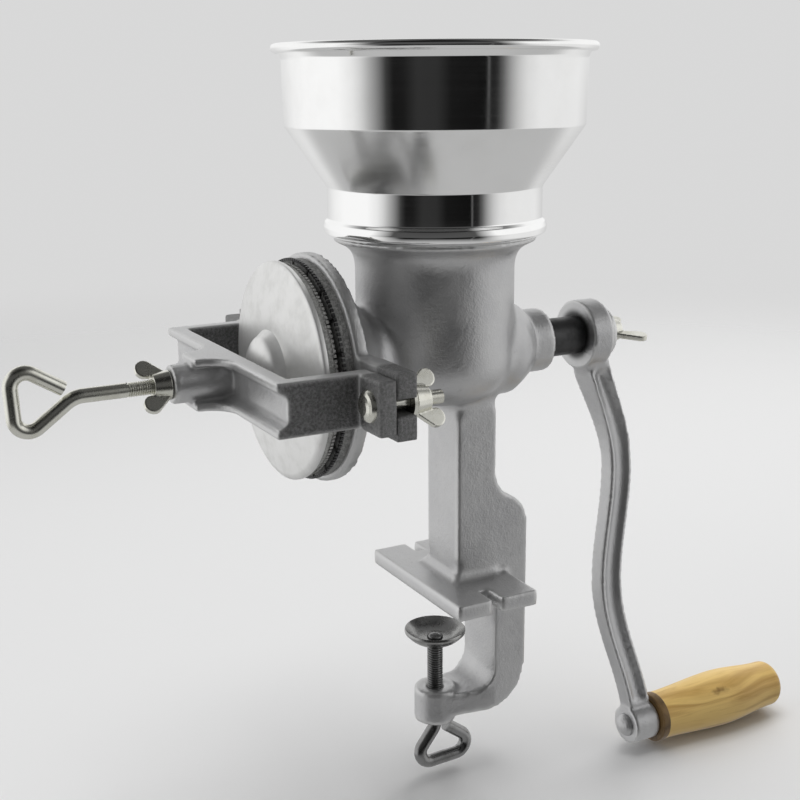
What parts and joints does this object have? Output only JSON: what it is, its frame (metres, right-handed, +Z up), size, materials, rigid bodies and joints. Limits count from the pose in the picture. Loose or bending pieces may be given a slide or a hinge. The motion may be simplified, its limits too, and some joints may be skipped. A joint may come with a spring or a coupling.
{
  "type": "hand grain mill",
  "caption": "Hand-cranked grain mill: a sheet hopper over a cast body with a table clamp, an auger that feeds grinding burrs held by an adjustable yoke, and a curved crank with a wooden grip.",
  "frame": {"origin": "table seat under the jaw plate, where the hopper's and the clamp screw's shared axis meets it", "axes": "+X along the shaft to the crank, +Z up through the hopper, -Y the side shown in front"},
  "size_m": [0.3976, 0.1694, 0.3611],
  "materials": {
    "casting": "silver-grey coat over cast grain",
    "bright_casting": "bright tinned",
    "burr": "raw, rough",
    "polished_sheet": "polished",
    "dark_steel": "dark, satin",
    "zinc": "bright zinc",
    "ferrule": "dark brown",
    "wood": "varnished"
  },
  "bodies": {
    "mill": {"mill_body": "casting", "fixed_burr": "burr", "fixed_burr_screws": "zinc", "yoke": "casting", "yoke_bolts": "zinc"},
    "hopper": {"hopper": "polished_sheet"},
    "thrust_ball": {"thrust_ball": "zinc"},
    "crank": {"auger": "dark_steel", "rotating_burr": "burr", "rotating_burr_screws": "zinc", "burr_carrier": "bright_casting", "drive_pin": "zinc", "crank_arm": "casting", "handle_bolt": "zinc", "handle_nut": "zinc"},
    "crank_washer": {"crank_washer": "zinc"},
    "crank_thumb_screw": {"crank_thumb_screw": "zinc"},
    "grip": {"wooden_grip": "wood", "grip_ferrule": "ferrule"},
    "adjusting_screw": {"adjusting_screw": "zinc"},
    "lock_wing_nut": {"lock_wing_nut": "zinc"},
    "yoke_washer_near": {"yoke_washer_near": "zinc"},
    "yoke_wing_nut_near": {"yoke_wing_nut_near": "zinc"},
    "yoke_washer_far": {"yoke_washer_far": "zinc"},
    "yoke_wing_nut_far": {"yoke_wing_nut_far": "zinc"},
    "clamp_pad": {"clamp_pad": "dark_steel"},
    "clamp_screw": {"clamp_screw": "dark_steel"}
  },
  "joints": [
    {"name": "hopper_lift", "type": "slide", "parent": "mill", "child": "hopper", "axis": [0, 0, 1], "range_m": [0, 0.09]},
    {"name": "burr_gap", "type": "slide", "parent": "mill", "child": "thrust_ball", "axis": [-1, 0, 0], "range_m": [-0.0017, 0.0025]},
    {"name": "crank_turn", "type": "hinge", "parent": "thrust_ball", "child": "crank", "pos_m": [0, 0, 0.119], "axis": [1, 0, 0], "continuous": true},
    {"name": "grip_spin", "type": "hinge", "parent": "crank", "child": "grip", "pos_m": [0.12, -0.0311, -0.08666], "axis": [1, 0, 0], "continuous": true},
    {"name": "crank_washer_slide", "type": "slide", "parent": "crank", "child": "crank_washer", "axis": [1, 0, 0], "range_m": [0, 0.012]},
    {"name": "crank_thumb_screw_turn", "type": "hinge", "parent": "crank_washer", "child": "crank_thumb_screw", "pos_m": [0.1, 0, 0.119], "axis": [1, 0, 0], "range_deg": [0, 4330]},
    {"name": "adjusting_screw_turn", "type": "hinge", "parent": "thrust_ball", "child": "adjusting_screw", "pos_m": [-0.13, 0, 0.119], "axis": [-1, 0, 0], "range_deg": [-620, 910]},
    {"name": "lock_nut_turn", "type": "hinge", "parent": "mill", "child": "lock_wing_nut", "pos_m": [-0.13, 0, 0.119], "axis": [-1, 0, 0], "range_deg": [0, 720]},
    {"name": "yoke_washer_near_slide", "type": "slide", "parent": "mill", "child": "yoke_washer_near", "axis": [1, 0, 0], "range_m": [0, 0.0055]},
    {"name": "yoke_wing_nut_near_turn", "type": "hinge", "parent": "yoke_washer_near", "child": "yoke_wing_nut_near", "pos_m": [-0.055, -0.075, 0.119], "axis": [1, 0, 0], "range_deg": [0, 1990]},
    {"name": "yoke_washer_far_slide", "type": "slide", "parent": "mill", "child": "yoke_washer_far", "axis": [1, 0, 0], "range_m": [0, 0.0055]},
    {"name": "yoke_wing_nut_far_turn", "type": "hinge", "parent": "yoke_washer_far", "child": "yoke_wing_nut_far", "pos_m": [-0.055, 0.075, 0.119], "axis": [1, 0, 0], "range_deg": [0, 1990]},
    {"name": "clamp_travel", "type": "slide", "parent": "mill", "child": "clamp_pad", "axis": [0, 0, 1], "range_m": [-0.022, 0.001]},
    {"name": "clamp_screw_turn", "type": "hinge", "parent": "clamp_pad", "child": "clamp_screw", "pos_m": [0, 0, -0.03], "axis": [0, 0, 1], "range_deg": [-6345, 295]}
  ],
  "couplings": [
    {"joint": "adjusting_screw_turn", "follows": "burr_gap", "rad_per_m": 6283.2},
    {"joint": "clamp_screw_turn", "follows": "clamp_travel", "rad_per_m": 5026.5},
    {"joint": "yoke_wing_nut_near_turn", "follows": "yoke_washer_near_slide", "rad_per_m": 6283.2},
    {"joint": "yoke_wing_nut_far_turn", "follows": "yoke_washer_far_slide", "rad_per_m": 6283.2},
    {"joint": "crank_thumb_screw_turn", "follows": "crank_washer_slide", "rad_per_m": 6283.2}
  ]
}
